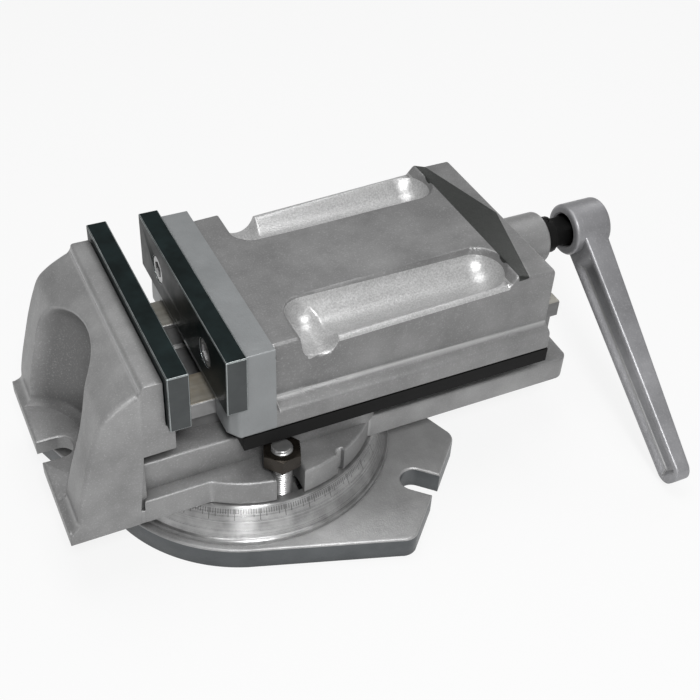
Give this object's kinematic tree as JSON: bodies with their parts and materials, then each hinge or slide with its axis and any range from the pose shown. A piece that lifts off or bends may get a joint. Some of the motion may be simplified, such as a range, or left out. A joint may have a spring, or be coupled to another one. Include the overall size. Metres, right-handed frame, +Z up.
{
  "type": "swivel machine vise",
  "caption": "Machine vise with a long moving jaw on ground rails, a lead screw with a crank, hardened jaw plates and a graduated swivel base with bolt lugs.",
  "frame": {"origin": "swivel axis, at the flat underside of the swivel base, which rests on the machine table", "axes": "+X along the lead screw towards the crank, parallel to the jaw's travel; +Z up along the swivel axis"},
  "size_m": [0.4155, 0.2933, 0.1605],
  "materials": {
    "casting": "cast paint, semi-gloss grey",
    "jaw_plate": "hardened and blackened, ground",
    "black_steel": "blackened",
    "ground_steel": "machined",
    "dark_steel": "dark oxide",
    "bronze": "cast bronze, machined",
    "crank_finish": "satin"
  },
  "bodies": {
    "base": {"swivel_base": "casting", "pivot_pin": "ground_steel"},
    "vise": {"vise_body": "casting", "fixed_jaw_plate": "jaw_plate", "fixed_plate_screw_front": "ground_steel", "fixed_plate_screw_back": "ground_steel", "screw_nut": "bronze", "nut_bolt_near_jaw": "dark_steel", "nut_bolt_near_tail": "dark_steel", "t_bolt_front": "ground_steel", "t_bolt_back": "ground_steel"},
    "jaw": {"moving_jaw": "casting", "moving_jaw_plate": "jaw_plate", "moving_plate_screw_front": "ground_steel", "moving_plate_screw_back": "ground_steel", "keeper_plate_front": "black_steel", "keeper_plate_back": "black_steel", "keeper_screw_front_1": "ground_steel", "keeper_screw_front_2": "ground_steel", "keeper_screw_front_3": "ground_steel", "keeper_screw_front_4": "ground_steel", "keeper_screw_back_1": "ground_steel", "keeper_screw_back_2": "ground_steel", "keeper_screw_back_3": "ground_steel", "keeper_screw_back_4": "ground_steel"},
    "screw": {"lead_screw": "black_steel", "thrust_washer": "bronze", "retaining_collar": "black_steel", "collar_set_screw": "ground_steel"},
    "crank": {"crank_handle": "crank_finish"},
    "nut_front": {"swivel_nut_front": "dark_steel"},
    "nut_back": {"swivel_nut_back": "dark_steel"}
  },
  "joints": [
    {"name": "swivel", "type": "hinge", "parent": "base", "child": "vise", "pos_m": [0, 0, 0.042], "axis": [0, 0, 1], "continuous": true},
    {"name": "jaw_slide", "type": "slide", "parent": "vise", "child": "jaw", "axis": [1, 0, 0], "range_m": [-0.0212, 0.1035]},
    {"name": "screw_turn", "type": "hinge", "parent": "jaw", "child": "screw", "pos_m": [0.2248, 0, 0.1255], "axis": [1, 0, 0], "range_deg": [-1526.4, 7452]},
    {"name": "crank_pull", "type": "slide", "parent": "screw", "child": "crank", "axis": [1, 0, 0], "range_m": [0, 0.04]},
    {"name": "nut_turn_front", "type": "hinge", "parent": "vise", "child": "nut_front", "pos_m": [-0.0045, -0.0774, 0.0662], "axis": [0, 0, 1], "continuous": true},
    {"name": "nut_turn_back", "type": "hinge", "parent": "vise", "child": "nut_back", "pos_m": [0.0045, 0.0774, 0.0662], "axis": [0, 0, 1], "continuous": true}
  ],
  "couplings": [
    {"joint": "jaw_slide", "follows": "screw_turn", "m_per_rad": 0.00079577}
  ]
}
